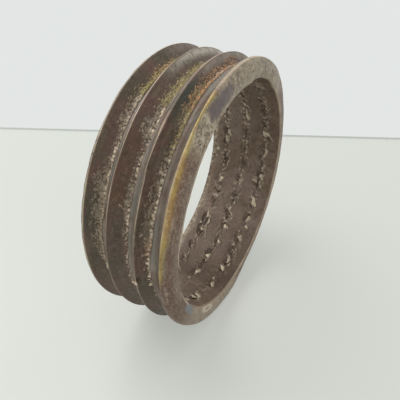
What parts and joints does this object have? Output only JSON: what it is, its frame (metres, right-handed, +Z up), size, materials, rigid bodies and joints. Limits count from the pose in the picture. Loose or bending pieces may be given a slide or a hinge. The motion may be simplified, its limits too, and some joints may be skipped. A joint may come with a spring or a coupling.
{
  "type": "ridged bracelet currency ring",
  "caption": "Closed heavy bronze bracelet of side-by-side ridged hoops with granular seams in the valleys and rows of dabs inside; traditional currency ring that stands on its edge.",
  "frame": {"origin": "on the table under the middle of the ring, at the bottom centre of its box", "axes": "+X along the ring's own axis towards its near end, +Z up; the ring stands on its edge"},
  "size_m": [0.032, 0.1, 0.0997],
  "materials": {
    "dark_bronze": "dark brown-violet patina, smooth on the flanks, worn light on the crests",
    "rim_bronze": "dark patina on the flank, worn golden crest, sandy pitted end face",
    "seam_bronze": "rough granular casting skin, tan, olive and copper specks",
    "dab_bronze": "rough dark dabs with tan worn tops"
  },
  "bodies": {
    "root": {"far_rim_hoop": "rim_bronze", "far_middle_hoop": "dark_bronze", "near_middle_hoop": "dark_bronze", "near_rim_hoop": "rim_bronze", "far_seam": "seam_bronze", "middle_seam": "seam_bronze", "near_seam": "seam_bronze", "far_inner_dabs": "dab_bronze", "middle_inner_dabs": "dab_bronze", "near_inner_dabs": "dab_bronze"}
  },
  "joints": []
}
